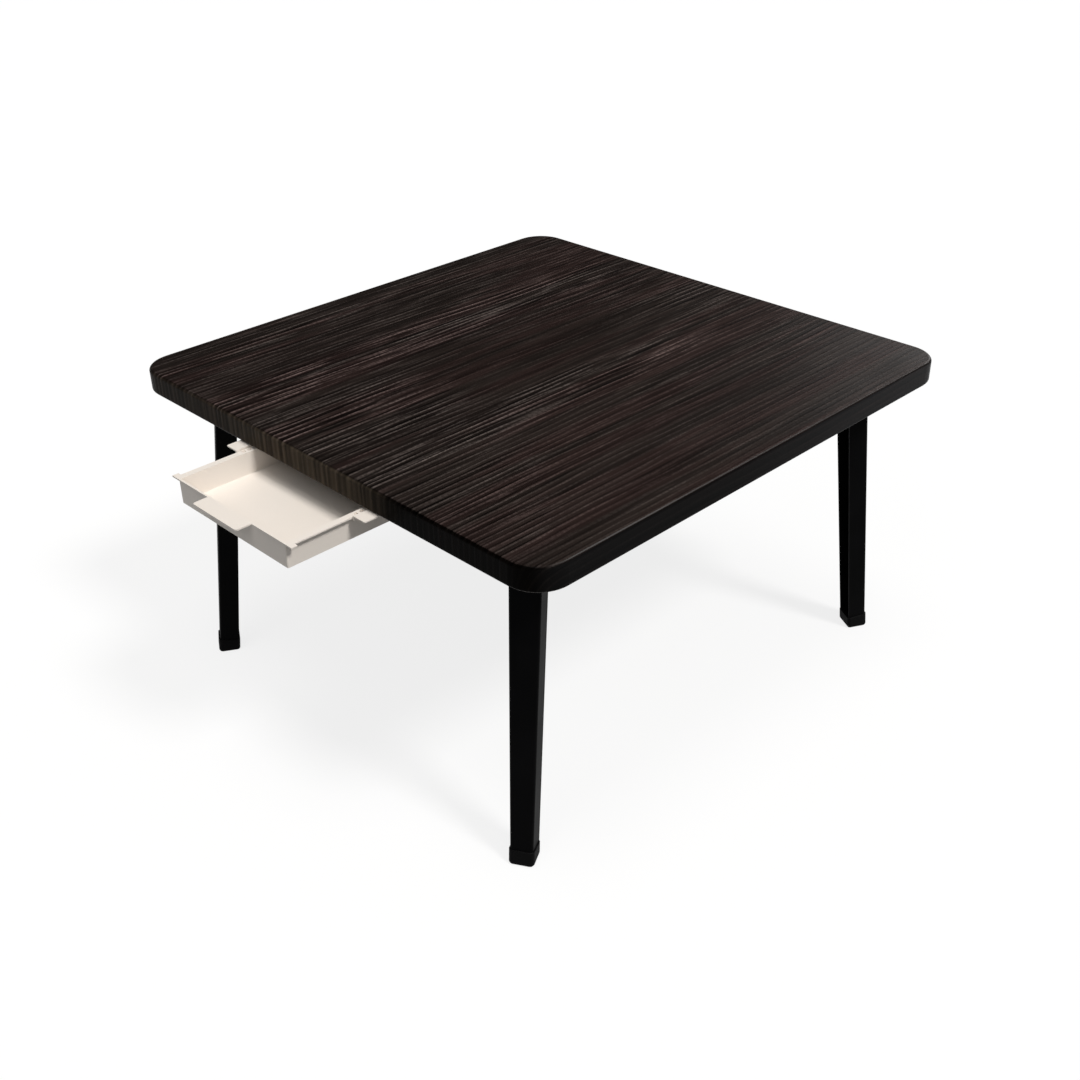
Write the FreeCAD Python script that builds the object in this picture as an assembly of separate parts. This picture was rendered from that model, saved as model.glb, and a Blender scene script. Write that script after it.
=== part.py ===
import FreeCAD, Part
import math
import os

# Low square floor table: a foil-wrapped board on four folding steel legs, with a slim
# tray that slides in two rails under the front edge. All lengths are in millimetres.
# The origin is the centre of the table top's upper face, +Z is up, the tray opens
# towards -Y, and +X is to the right of a person who faces the tray.

# Overall sizes
table_side = 600.0
table_height = 350.0

# Table top: a wood-fibre board under a foil that wraps over its edge
top_thickness = 25.0
corner_radius = 35.0
upper_edge_radius = 3.5
lower_edge_radius = 3.4
foil_thickness = 0.4
foil_return = 1.6

# Where the legs hinge, inwards of the top's sides, which way they fold and how they lean
hinge_inset_x = 70.0
hinge_inset_y = 57.3
fold_degrees = 60.0
lean_degrees = 6.7
pivot_drop = 15.0

# Leg: a pressed channel, open towards the table's centre
leg_sheet = 1.5
bend_radius = 3.0
head_width = 29.5
head_depth = 22.4
head_below_pivot = 12.0
head_round_radius = 12.7
flare_length = 11.0
shank_web_width = 29.5
shank_opening_width = 30.5
shank_depth = 22.4
foot_web_width = 22.3
foot_opening_width = 23.3
foot_depth = 21.2
stop_gap = 0.3

# Foot cap
cap_height = 16.0
cap_floor = 3.6
cap_wall = 1.4
cap_outer_corner_radius = 4.8
cap_inner_corner_radius = 3.6
cap_top_chamfer = 0.5
sole_edge_radius = 3.2
plug_wall = 1.6

# Hinge bracket
bracket_sheet = 1.5
bracket_length = 50.0
bracket_width = 60.0
bracket_corner_radius = 7.0
ear_sheet = 2.0
ear_tip_radius = 7.0
ear_root_inner = 14.0

# Hinge pin and its washers
pin_radius = 2.5
pin_running_gap = 0.06
pin_head_radius = 4.2
pin_head_height = 1.6
washer_thickness = 1.5
washer_radius = 5.4
washer_gap = 0.1

# Leaf spring that presses the open leg against its stop, and the rivet that holds it
spring_sheet = 0.8
spring_width = 12.0
spring_tail = 20.0
spring_bend_radius = 4.0
spring_web_gap = 0.4
spring_nose_radius = 2.3
spring_nose_rise = 1.5
spring_hang = 6.6
rivet_radius = 1.5
rivet_head_radius = 3.0
rivet_head_height = 1.2
rivet_place = 14.0

# Pan-head wood screws
screw_radius = 2.0
screw_length = 13.5
screw_point = 3.0
screw_head_radius = 3.8
screw_head_height = 2.3
recess_length = 4.4
recess_width = 1.1
recess_depth = 1.3
screw_hole_gap = 0.25
bracket_screw_reach = 16.0
bracket_screw_spread = 24.0

# Tray
tray_width = 168.0
tray_depth = 161.0
tray_height = 25.0
tray_wall = 1.4
tray_floor = 1.4
tray_corner_radius = 1.5
tray_inner_radius = 1.0
flange_thickness = 1.4
flange_narrow = 5.8
flange_wide = 7.0
flange_ear = 10.0
flange_ear_length = 6.5
flange_front = 0.6
flange_back = 2.0
guide_length = 48.0
tray_open = 82.4
tray_offset = -7.0
tab_width = 69.0
tab_reach = 16.0
tab_corner_radius = 3.0
window_width = 3.2
window_edge = 1.3
window_lengths = (3.6, 4.6)
window_setback = 72.0
window_space = 2.4

# Rails
rail_overhang = 14.5
rail_mouth_inset = 4.0
rail_length = 164.0
rail_sheet = 1.2
rail_side_gap = 0.4
rail_top_gap = 0.4
rail_run_gap = 0.3
rail_lip_reach = 6.4
rail_mount_width = 14.5
rail_corner_radius = 1.5
stop_nub_length = 5.0
rail_screw_inset = 32.0
rail_screw_edge = 7.0

# How far a cutting shape runs past what it cuts
overrun = 2.0

# How far apart two heights may lie and still count as one
level_tolerance = 0.0002

underside = -top_thickness
floor_level = -table_height
half_side = table_side / 2
hinge_x = half_side - hinge_inset_x
hinge_y = half_side - hinge_inset_y

base = FreeCAD.Vector(0, 0, 0)
along_x = FreeCAD.Vector(1, 0, 0)
along_y = FreeCAD.Vector(0, 1, 0)
along_z = FreeCAD.Vector(0, 0, 1)

# The sign of each corner's X and Y
corners = {
    "front_left": (-1, -1),
    "front_right": (1, -1),
    "back_right": (1, 1),
    "back_left": (-1, 1),
}


def box(x_low, x_high, y_low, y_high, z_low, z_high):
    """Box between two opposite corners."""
    size = (x_high - x_low, y_high - y_low, z_high - z_low)
    return Part.makeBox(*size, FreeCAD.Vector(x_low, y_low, z_low))


def rounded_wire(points, radii):
    """Closed wire through the points, each corner rounded by its own radius."""
    edges = []
    ends = []
    count = len(points)
    for index, corner in enumerate(points):
        back = (points[index - 1] - corner).normalize()
        ahead = (points[(index + 1) % count] - corner).normalize()
        half_angle = back.getAngle(ahead) / 2
        setback = radii[index] / math.tan(half_angle)
        to_middle = (back + ahead).normalize()
        middle = corner + to_middle * (radii[index] / math.sin(half_angle) - radii[index])
        ends.append((corner + back * setback, middle, corner + ahead * setback))
    for index, (start, middle, end) in enumerate(ends):
        if radii[index] > 0:
            edges.append(Part.Arc(start, middle, end).toShape())
        following = ends[(index + 1) % count][0]
        edges.append(Part.LineSegment(end, following).toShape())
    return Part.Wire(edges)


def rounded_plate(x_low, x_high, y_low, y_high, z_low, z_high, radius):
    """Flat plate whose four upright edges share one radius."""
    points = [
        FreeCAD.Vector(x_low, y_low, z_low),
        FreeCAD.Vector(x_high, y_low, z_low),
        FreeCAD.Vector(x_high, y_high, z_low),
        FreeCAD.Vector(x_low, y_high, z_low),
    ]
    wire = rounded_wire(points, [radius] * len(points))
    return Part.Face(wire).extrude(along_z * (z_high - z_low))


def edges_at_height(shape, height):
    """Edges that lie wholly at one height."""
    found = []
    for edge in shape.Edges:
        limits = edge.BoundBox
        if max(abs(limits.ZMin - height), abs(limits.ZMax - height)) < level_tolerance:
            found.append(edge)
    return found


def slab(inset, upper_radius, lower_radius):
    """The top's outline as a solid, drawn in by an inset on its top and sides."""
    reach = half_side - inset
    plate = rounded_plate(-reach, reach, -reach, reach, underside, -inset, corner_radius - inset)
    rounded = plate.makeFillet(upper_radius, edges_at_height(plate, -inset))
    return rounded.makeFillet(lower_radius, edges_at_height(rounded, underside))


def top_pieces():
    """The foil skin and the board under it, with the screws' pilot holes."""
    outside = slab(0, upper_edge_radius, lower_edge_radius)
    core = slab(foil_thickness, upper_edge_radius - foil_thickness, lower_edge_radius - foil_thickness)
    reach = half_side + overrun
    above_return = box(-reach, reach, -reach, reach, underside + foil_return, overrun)
    foil = outside.cut(core).common(above_return)
    board = outside.cut(foil)
    holes = [place(screw, corner) for corner in corners for screw in bracket_screw_shanks()]
    for side in (-1, 1):
        for point in rail_screw_points(side):
            holes.append(screw_shank(point))
    return foil, board.cut(holes)


# The hinge frame of one corner has its origin on the pivot, +X outwards across the
# hinge pin, Y along the pin, and Z up. Every corner piece is made there once.

plate_top = pivot_drop
plate_bottom = plate_top - bracket_sheet
sole_depth = table_height - top_thickness - pivot_drop
shank_top = -(head_below_pivot + flare_length)
leg_end = -(sole_depth - cap_floor) / math.cos(math.radians(lean_degrees))
ear_outside = head_width / 2 - leg_sheet - 2 * washer_gap - washer_thickness


def place(shape, corner):
    """Carry a piece from the hinge frame to a corner of the table."""
    x_sign, y_sign = corners[corner]
    from_x = math.radians(fold_degrees)
    outward = math.atan2(y_sign * math.sin(from_x), x_sign * math.cos(from_x))
    placed = shape.copy()
    placed.rotate(base, along_z, math.degrees(outward))
    placed.translate(FreeCAD.Vector(x_sign * hinge_x, y_sign * hinge_y, underside - pivot_drop))
    return placed


def lean(shape):
    """Tilt an upright leg piece outwards about the pivot."""
    tilted = shape.copy()
    tilted.rotate(base, along_y, -lean_degrees)
    return tilted


def channel_wire(height, web_width, opening_width, depth, inset):
    """Section of the leg's channel: its outline, or the hollow a sheet's thickness in."""
    flare = (opening_width - web_width) / 2 / depth
    slant = inset * math.hypot(1, flare)
    web_x = depth / 2 - inset
    web_y = web_width / 2 + flare * inset - slant
    open_x = -depth / 2 - (overrun if inset else 0)
    open_y = web_y + flare * (web_x - open_x)
    points = [
        FreeCAD.Vector(web_x, -web_y, height),
        FreeCAD.Vector(web_x, web_y, height),
        FreeCAD.Vector(open_x, open_y, height),
        FreeCAD.Vector(open_x, -open_y, height),
    ]
    bend = bend_radius - inset
    return rounded_wire(points, [bend, bend, 0, 0])


def channel_body(inset):
    """The leg's channel from head to foot as a solid, whole or as its hollow."""
    past_end = overrun if inset else 0
    head_top = plate_top + past_end
    taper_share = (-leg_end + past_end + shank_top) / (-leg_end + shank_top)

    def tapered(upper, lower):
        return upper + (lower - upper) * taper_share

    sections = [
        channel_wire(head_top, head_width, head_width, head_depth, inset),
        channel_wire(-head_below_pivot, head_width, head_width, head_depth, inset),
        channel_wire(shank_top, shank_web_width, shank_opening_width, shank_depth, inset),
        channel_wire(
            leg_end - past_end,
            tapered(shank_web_width, foot_web_width),
            tapered(shank_opening_width, foot_opening_width),
            tapered(shank_depth, foot_depth),
            inset,
        ),
    ]
    return Part.makeLoft(sections, True, True)


def make_leg():
    """Pressed channel leg with rounded cheeks, leaning against its stop."""
    channel = channel_body(0).cut(channel_body(leg_sheet))
    reach = head_width
    round_head = Part.makeCylinder(head_round_radius, 2 * reach, along_y * -reach, along_y)
    outer_half = box(0, reach, -reach, reach, 0, plate_top)
    lower_part = box(-reach, reach, -reach, reach, leg_end - overrun, 0)
    leg = channel.common(round_head.fuse([outer_half, lower_part]))
    bore = Part.makeCylinder(pin_radius + pin_running_gap, 2 * reach, along_y * -reach, along_y)
    leg = lean(leg.cut(bore))
    stop = box(-2 * reach, 2 * reach, -reach, reach, plate_bottom - stop_gap, plate_top + reach)
    return leg.cut(stop).removeSplitter()


def make_foot_cap(leg):
    """Moulded cap that takes the channel's end in a slot, cut level with the floor."""
    half_depth = foot_depth / 2 + cap_wall
    half_web = foot_web_width / 2 + cap_wall
    half_opening = foot_opening_width / 2 + cap_wall
    low = leg_end - cap_floor - overrun
    height = cap_height + overrun
    points = [
        FreeCAD.Vector(half_depth, -half_web, low),
        FreeCAD.Vector(half_depth, half_web, low),
        FreeCAD.Vector(-half_depth, half_opening, low),
        FreeCAD.Vector(-half_depth, -half_opening, low),
    ]
    outer, inner = cap_outer_corner_radius, cap_inner_corner_radius
    wire = rounded_wire(points, [outer, outer, inner, inner])
    block = Part.Face(wire).extrude(along_z * height)
    block = block.makeChamfer(cap_top_chamfer, edges_at_height(block, low + height))
    pocket_outer = foot_depth / 2 - leg_sheet - plug_wall
    pocket_inner = plug_wall - foot_depth / 2
    outer_half = foot_web_width / 2 - leg_sheet - plug_wall
    inner_half = foot_opening_width / 2 - leg_sheet - 2 * plug_wall
    pocket_points = [
        FreeCAD.Vector(pocket_outer, -outer_half, leg_end),
        FreeCAD.Vector(pocket_outer, outer_half, leg_end),
        FreeCAD.Vector(pocket_inner, inner_half, leg_end),
        FreeCAD.Vector(pocket_inner, -inner_half, leg_end),
    ]
    pocket = Part.Face(rounded_wire(pocket_points, [0] * len(pocket_points))).extrude(along_z * height)
    cap = lean(block.cut(pocket)).cut(leg)
    reach = table_height
    cap = cap.common(box(-reach, reach, -reach, reach, -sole_depth, 0))
    return cap.makeFillet(sole_edge_radius, edges_at_height(cap, -sole_depth))


def make_bracket():
    """Bracket plate with two ears that reach down inside the leg's head."""
    half_length = bracket_length / 2
    half_width = bracket_width / 2
    plate = rounded_plate(
        -half_length, half_length, -half_width, half_width, plate_bottom, plate_top, bracket_corner_radius
    )
    outline = [
        FreeCAD.Vector(ear_tip_radius, 0, plate_bottom),
        FreeCAD.Vector(ear_tip_radius, 0, 0),
        FreeCAD.Vector(-ear_tip_radius, 0, 0),
        FreeCAD.Vector(-ear_root_inner, 0, plate_bottom),
    ]
    panel = Part.Face(Part.makePolygon(outline + outline[:1])).extrude(along_y * ear_sheet)
    tip = Part.makeCylinder(ear_tip_radius, ear_sheet, base, along_y)
    ear = panel.fuse(tip)
    ears = []
    for start in (-ear_outside, ear_outside - ear_sheet):
        copy = ear.copy()
        copy.translate(along_y * start)
        ears.append(copy)
    bracket = plate.fuse(ears).removeSplitter()
    bore = Part.makeCylinder(pin_radius, bracket_width, along_y * -half_width, along_y)
    holes = [bore, make_rivet()]
    for point in bracket_screw_points():
        reach_down = FreeCAD.Vector(point.x, point.y, plate_bottom - overrun)
        hole_length = bracket_sheet + 2 * overrun
        holes.append(Part.makeCylinder(screw_radius + screw_hole_gap, hole_length, reach_down))
    return bracket.cut(holes)


def make_pin():
    """Pin through both ears and both cheeks, with a domed head outside each cheek."""
    shoulder = head_width / 2 + washer_gap
    pin = Part.makeCylinder(pin_radius, 2 * shoulder, along_y * -shoulder, along_y)
    heads = [domed_head(along_y * side * shoulder, along_y * side, pin_head_radius, pin_head_height)
             for side in (-1, 1)]
    return pin.fuse(heads).removeSplitter()


def domed_head(seat, direction, radius, height):
    """Low dome on a flat seat: the cap of the ball that has this radius and height."""
    ball_radius = (radius * radius + height * height) / (2 * height)
    ball = Part.makeSphere(ball_radius, seat + direction * (height - ball_radius))
    slice_of_rod = Part.makeCylinder(radius, height, seat, direction)
    return ball.common(slice_of_rod)


def make_washers():
    """One slide washer between each ear and the cheek beside it."""
    washers = []
    for side in (-1, 1):
        seat = along_y * side * (ear_outside + washer_gap)
        disc = Part.makeCylinder(washer_radius, washer_thickness, seat, along_y * side)
        bore = Part.makeCylinder(pin_radius + pin_running_gap, washer_thickness, seat, along_y * side)
        washers.append(disc.cut(bore))
    return Part.makeCompound(washers)


def make_spring():
    """Leaf under the bracket plate that bends down and ends in a rolled nose."""
    half_width = spring_width / 2
    upper = plate_bottom
    lower = upper - spring_sheet
    bend_x = spring_hang + spring_sheet / 2 - spring_bend_radius
    bend_centre = FreeCAD.Vector(bend_x, 0, upper - spring_bend_radius)
    tail = box(-spring_tail, bend_centre.x, -half_width, half_width, lower, upper)
    ring_start = bend_centre - along_y * half_width
    bend = Part.makeCylinder(spring_bend_radius, spring_width, ring_start, along_y)
    bend = bend.cut(Part.makeCylinder(spring_bend_radius - spring_sheet, spring_width, ring_start, along_y))
    quarter = box(
        bend_centre.x, bend_centre.x + spring_bend_radius, -half_width, half_width, bend_centre.z, upper
    )
    nose_x = head_depth / 2 - leg_sheet - spring_web_gap - spring_nose_radius
    nose_start = FreeCAD.Vector(nose_x, -half_width, spring_nose_rise)
    nose = Part.makeCylinder(spring_nose_radius, spring_width, nose_start, along_y)
    nose_bore = Part.makeCylinder(spring_nose_radius - spring_sheet, spring_width, nose_start, along_y)
    hang = box(
        spring_hang - spring_sheet / 2, spring_hang + spring_sheet / 2, -half_width, half_width,
        spring_nose_rise, bend_centre.z
    )
    leaf = tail.fuse([bend.common(quarter), hang, nose]).cut([nose_bore, make_rivet()])
    return leaf.removeSplitter()


def make_rivet():
    """Rivet through the plate and the leaf, flush above and domed below."""
    seat = plate_bottom - spring_sheet
    shank = Part.makeCylinder(
        rivet_radius, plate_top - seat, FreeCAD.Vector(-rivet_place, 0, seat)
    )
    flush = Part.makeCone(
        rivet_radius, rivet_head_radius, bracket_sheet / 2,
        FreeCAD.Vector(-rivet_place, 0, plate_top - bracket_sheet / 2)
    )
    dome = domed_head(FreeCAD.Vector(-rivet_place, 0, seat), -along_z, rivet_head_radius, rivet_head_height)
    return shank.fuse([flush, dome]).removeSplitter()


def bracket_screw_points():
    """Where the four screws meet the lower face of the bracket plate."""
    return [
        FreeCAD.Vector(x_sign * bracket_screw_reach, y_sign * bracket_screw_spread, plate_bottom)
        for x_sign, y_sign in corners.values()
    ]


def bracket_screw_shanks():
    """Shanks of the bracket screws, which are also their pilot holes."""
    return [screw_shank(point) for point in bracket_screw_points()]


def screw_shank(seat):
    """Straight shank with a conical point, up from the seat of the head."""
    shank = Part.makeCylinder(screw_radius, screw_length - screw_point, seat)
    tip_seat = seat + along_z * (screw_length - screw_point)
    return shank.fuse(Part.makeCone(screw_radius, 0, screw_point, tip_seat)).removeSplitter()


def make_screw(seat):
    """Pan-head screw with a cross recess, its head hanging below the seat."""
    head = domed_head(seat, -along_z, screw_head_radius, screw_head_height)
    half_length = recess_length / 2
    half_width = recess_width / 2
    low = seat.z - screw_head_height
    blades = [
        box(seat.x - x_half, seat.x + x_half, seat.y - y_half, seat.y + y_half, low, low + recess_depth)
        for x_half, y_half in ((half_length, half_width), (half_width, half_length))
    ]
    return head.fuse(screw_shank(seat)).removeSplitter().cut(blades)


# The tray and its rails share these levels and places. The tray stands partly open.

rail_top_under = underside - rail_sheet
rim_top = rail_top_under - rail_top_gap
flange_under = rim_top - flange_thickness
lip_top = flange_under - rail_run_gap
lip_under = lip_top - rail_sheet
tray_bottom = rim_top - tray_height
tray_half = tray_width / 2
tray_front = -(half_side + tray_open)
tray_back = tray_front + tray_depth
rail_front = -(half_side + rail_overhang)
rail_back = rail_front + rail_length
web_inside = tray_half + flange_wide + rail_side_gap


def make_tray():
    """Open tray with a rim flange, two front ears, rear guides, small windows and a pull tab."""
    body = rounded_plate(
        -tray_half, tray_half, tray_front, tray_back, tray_bottom, rim_top, tray_corner_radius
    )
    narrow_half = tray_half + flange_narrow
    wide_half = tray_half + flange_wide
    ear_half = tray_half + flange_ear
    rim_front = tray_front - flange_front
    rim_back = tray_back + flange_back
    flanges = [
        box(-narrow_half, narrow_half, rim_front, rim_back, flange_under, rim_top),
        box(-ear_half, ear_half, rim_front, rim_front + flange_ear_length, flange_under, rim_top),
        box(-wide_half, wide_half, tray_back - guide_length, rim_back, flange_under, rim_top),
    ]
    half_tab = tab_width / 2
    tab_points = [
        FreeCAD.Vector(-half_tab, tray_front, flange_under),
        FreeCAD.Vector(-half_tab, rim_front - tab_reach, flange_under),
        FreeCAD.Vector(half_tab, rim_front - tab_reach, flange_under),
        FreeCAD.Vector(half_tab, tray_front, flange_under),
    ]
    tab_wire = rounded_wire(tab_points, [0, tab_corner_radius, tab_corner_radius, 0])
    flanges.append(Part.Face(tab_wire).extrude(along_z * flange_thickness))
    hollow = rounded_plate(
        -tray_half + tray_wall, tray_half - tray_wall, tray_front + tray_wall, tray_back - tray_wall,
        tray_bottom + tray_floor, rim_top + overrun, tray_inner_radius
    )
    hollow = hollow.makeFillet(tray_inner_radius, edges_at_height(hollow, tray_bottom + tray_floor))
    windows = []
    below = flange_under - overrun
    above = rim_top + overrun
    start = tray_front + window_setback
    for length in window_lengths:
        for near in (narrow_half - window_edge - window_width, window_edge - narrow_half):
            windows.append(box(near, near + window_width, start, start + length, below, above))
        start += length + window_space
    tray = body.fuse(flanges).removeSplitter().cut([hollow, *windows])
    return tray.translate(along_x * tray_offset)


def make_rail(side):
    """Rail with a screw flange, a web and a lip that carries the tray's flange.

    Past the table's edge its top is cut back to the web, so the tray's flange shows there.
    """
    web_outside = web_inside + rail_sheet
    mount_outside = web_outside + rail_mount_width
    lip_inside = web_inside - rail_lip_reach
    mount = rounded_plate(
        lip_inside, mount_outside, rail_front, rail_back, rail_top_under, underside, rail_corner_radius
    )
    mouth = box(
        lip_inside - overrun, web_inside, rail_front - overrun, rail_mouth_inset - half_side,
        rail_top_under - overrun, underside + overrun
    )
    web = box(web_inside, web_outside, rail_front, rail_back, lip_under, underside)
    lip = box(lip_inside, web_outside, rail_front, rail_back, lip_under, lip_top)
    nub_inside = tray_half + flange_narrow + rail_side_gap
    nub = box(nub_inside, web_outside, rail_front, rail_front + stop_nub_length, lip_under, underside)
    rail = mount.cut(mouth).fuse([web, lip, nub]).removeSplitter()
    if side < 0:
        rail = rail.mirror(base, along_x)
    rail.translate(along_x * tray_offset)
    holes = []
    for point in rail_screw_points(side):
        start = FreeCAD.Vector(point.x, point.y, rail_top_under - overrun)
        holes.append(Part.makeCylinder(screw_radius + screw_hole_gap, rail_sheet + 2 * overrun, start))
    return rail.cut(holes)


def rail_screw_points(side):
    """Where three screws meet the lower face of a rail's screw flange."""
    across = tray_offset + side * (web_inside + rail_sheet + rail_mount_width - rail_screw_edge)
    first = rail_front + rail_screw_inset
    last = rail_back - rail_screw_inset / 2
    return [
        FreeCAD.Vector(across, y_place, rail_top_under)
        for y_place in (first, (first + last) / 2, last)
    ]


def build():
    """Every piece by its name."""
    foil, board = top_pieces()
    pieces = {"top_board": board, "top_foil": foil}
    leg = make_leg()
    corner_pieces = {
        "leg_bracket": make_bracket(),
        "bracket_screws": Part.makeCompound([make_screw(point) for point in bracket_screw_points()]),
        "hinge_pin": make_pin(),
        "hinge_washers": make_washers(),
        "leg_spring": make_spring(),
        "spring_rivet": make_rivet(),
        "leg": leg,
        "foot_cap": make_foot_cap(leg),
    }
    for corner in corners:
        for name, shape in corner_pieces.items():
            pieces[name + "_" + corner] = place(shape, corner)
    pieces["drawer_tray"] = make_tray()
    for side, word in ((-1, "left"), (1, "right")):
        pieces["drawer_rail_" + word] = make_rail(side)
        screws = [make_screw(point) for point in rail_screw_points(side)]
        pieces["rail_screws_" + word] = Part.makeCompound(screws)
    return pieces


os.makedirs("parts", exist_ok=True)
for node, shape in build().items():
    shape.exportStep("parts/" + node + ".step")
    print(node, len(shape.Solids), round(shape.Volume, 1), shape.isValid())
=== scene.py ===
"""Finishes, camera and studio for the low floor table."""

import logging
import math
from dataclasses import dataclass, replace
from enum import Enum

import bpy
from mathutils import Matrix, Vector

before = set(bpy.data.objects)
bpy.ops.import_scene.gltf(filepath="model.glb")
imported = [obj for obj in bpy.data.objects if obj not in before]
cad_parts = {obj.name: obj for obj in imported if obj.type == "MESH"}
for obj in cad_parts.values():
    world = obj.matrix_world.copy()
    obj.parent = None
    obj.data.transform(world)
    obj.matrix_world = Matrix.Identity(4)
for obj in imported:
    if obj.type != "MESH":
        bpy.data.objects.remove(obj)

log = logging.getLogger("low_table")

Colour = tuple[float, float, float]
Direction = tuple[float, float, float]
Socket = bpy.types.NodeSocket
Value = float | tuple | Socket

# Where a mapping starts and ends and, unless they are 0 and 1, its results there
Span = tuple[float, ...]

# The places of the colours and of the result on a node that mixes colours
MIX_FIRST, MIX_SECOND, MIX_RESULT = 6, 7, 2

# How far and on which plane of the noise the streaks wander, in swells to a metre
DRIFT_ACROSS = 6.0
DRIFT_ALONG = 4.5
DRIFT_PLANE = 3.7

BEVEL_SAMPLES = 4
WEAR_BREAKS: Span = (0.35, 0.6)
WHITE: Colour = (1.0, 1.0, 1.0)


class Corner(Enum):
    """The four corners of the top, seen by a person who faces the tray."""

    FRONT_LEFT = "front_left"
    FRONT_RIGHT = "front_right"
    BACK_RIGHT = "back_right"
    BACK_LEFT = "back_left"


class Side(Enum):
    """The two rails of the tray."""

    LEFT = "left"
    RIGHT = "right"


# Nodes: short calls and the shared effects


class Graph:
    """Short calls that make and join the nodes of one tree."""

    def __init__(self, tree: bpy.types.NodeTree) -> None:
        """Keeps the tree that the nodes go into."""
        self.tree = tree

    def plug(self, socket: Socket, value: Value) -> None:
        """Joins a socket to a socket, or sets its value.

        Args:
            socket: the input.
            value: what feeds it, or its constant.
        """
        if isinstance(value, bpy.types.NodeSocket):
            self.tree.links.new(value, socket)
        else:
            socket.default_value = value

    def add(self, kind: str, plugs: dict[str | int, Value], **settings: object) -> bpy.types.Node:
        """Adds a node.

        Args:
            kind: the node's type name.
            plugs: what feeds its inputs, by name or place.
            settings: its own options.

        Returns:
            The node.
        """
        node = self.tree.nodes.new(kind)
        for name, setting in settings.items():
            setattr(node, name, setting)
        for name, value in plugs.items():
            self.plug(node.inputs[name], value)
        return node

    def math(self, operation: str, first: Value, second: Value = 0.0, clamp: bool = False) -> Socket:
        """Adds a sum, product or the like of two values.

        Args:
            operation: the name of the operation.
            first: the first value.
            second: the second value.
            clamp: whether the result stays from 0 to 1.

        Returns:
            The result.
        """
        plugs = {0: first, 1: second}
        return self.add("ShaderNodeMath", plugs, operation=operation, use_clamp=clamp).outputs[0]

    def mix(self, factor: Value, low: Value, high: Value) -> Socket:
        """Blends two colours.

        Args:
            factor: 0 for the first colour, 1 for the second.
            low: the first colour.
            high: the second colour.

        Returns:
            The blend.
        """
        plugs = {0: factor, MIX_FIRST: _rgba(low), MIX_SECOND: _rgba(high)}
        return self.add("ShaderNodeMix", plugs, data_type="RGBA").outputs[MIX_RESULT]

    def scale_colour(self, colour: Value, factor: Value) -> Socket:
        """Multiplies a colour by a value.

        Args:
            colour: the colour.
            factor: the value.

        Returns:
            The product.
        """
        grey = self.add("ShaderNodeCombineColor", {0: factor, 1: factor, 2: factor}).outputs[0]
        plugs = {0: 1.0, MIX_FIRST: _rgba(colour), MIX_SECOND: grey}
        node = self.add("ShaderNodeMix", plugs, data_type="RGBA", blend_type="MULTIPLY")
        return node.outputs[MIX_RESULT]

    def ramp(
        self, value: Value, low: Value, high: Value, at_low: Value = 0.0, at_high: Value = 1.0
    ) -> Socket:
        """Maps a value smoothly from one range to another, held at both ends.

        Args:
            value: what is mapped.
            low: where the mapping starts.
            high: where it ends.
            at_low: the result at its start.
            at_high: the result at its end.

        Returns:
            The mapped value.
        """
        plugs = {0: value, 1: low, 2: high, 3: at_low, 4: at_high}
        return self.add("ShaderNodeMapRange", plugs, interpolation_type="SMOOTHSTEP").outputs[0]

    def point(self, x: Value, y: Value, z: Value) -> Socket:
        """Joins three values into a vector."""
        return self.add("ShaderNodeCombineXYZ", {0: x, 1: y, 2: z}).outputs[0]

    def parts(self, vector: Socket) -> tuple[Socket, Socket, Socket]:
        """Splits a vector into its three values."""
        return tuple(self.add("ShaderNodeSeparateXYZ", {0: vector}).outputs)

    def dot(self, first: Value, second: Value) -> Socket:
        """Multiplies two vectors into one value."""
        plugs = {0: first, 1: second}
        return self.add("ShaderNodeVectorMath", plugs, operation="DOT_PRODUCT").outputs["Value"]

    def noise(self, place: Socket, scale: Value, detail: Value = 2.0) -> Socket:
        """Adds soft noise from 0 to 1.

        Args:
            place: the point that it is read at.
            scale: how many swells there are to a unit of length.
            detail: how many finer layers it has.

        Returns:
            The noise.
        """
        plugs = {"Vector": place, "Scale": scale, "Detail": detail}
        return self.add("ShaderNodeTexNoise", plugs).outputs["Fac"]

    def here(self, output: str = "Object") -> Socket:
        """The point or normal of the surface in the piece's own frame."""
        return self.add("ShaderNodeTexCoord", {}).outputs[output]

    def effect(self, group: bpy.types.NodeTree, **plugs: Value) -> bpy.types.Node:
        """Places a shared effect.

        Args:
            group: the effect.
            plugs: what feeds its inputs, by name.

        Returns:
            The group node.
        """
        node = self.tree.nodes.new("ShaderNodeGroup")
        node.node_tree = group
        for name, value in plugs.items():
            self.plug(node.inputs[name.replace("_", " ").title()], value)
        return node


def _rgba(value: Value) -> Value:
    """A colour constant with its alpha, or the socket as it is."""
    return (*value, 1.0) if isinstance(value, tuple) and len(value) == 3 else value


def _new_group(
    name: str, inputs: dict[str, float], outputs: list[str]
) -> tuple[bpy.types.NodeTree, Graph, bpy.types.Node, bpy.types.Node]:
    """Starts a shared effect.

    Args:
        name: its name.
        inputs: its number inputs, with their usual values.
        outputs: its number outputs.

    Returns:
        The group, its graph, its input node and its output node.
    """
    tree = bpy.data.node_groups.new(name, "ShaderNodeTree")
    for label, usual in inputs.items():
        socket = tree.interface.new_socket(name=label, in_out="INPUT", socket_type="NodeSocketFloat")
        socket.default_value = usual
    for label in outputs:
        tree.interface.new_socket(name=label, in_out="OUTPUT", socket_type="NodeSocketFloat")
    graph = Graph(tree)
    return tree, graph, graph.add("NodeGroupInput", {}), graph.add("NodeGroupOutput", {})


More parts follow.
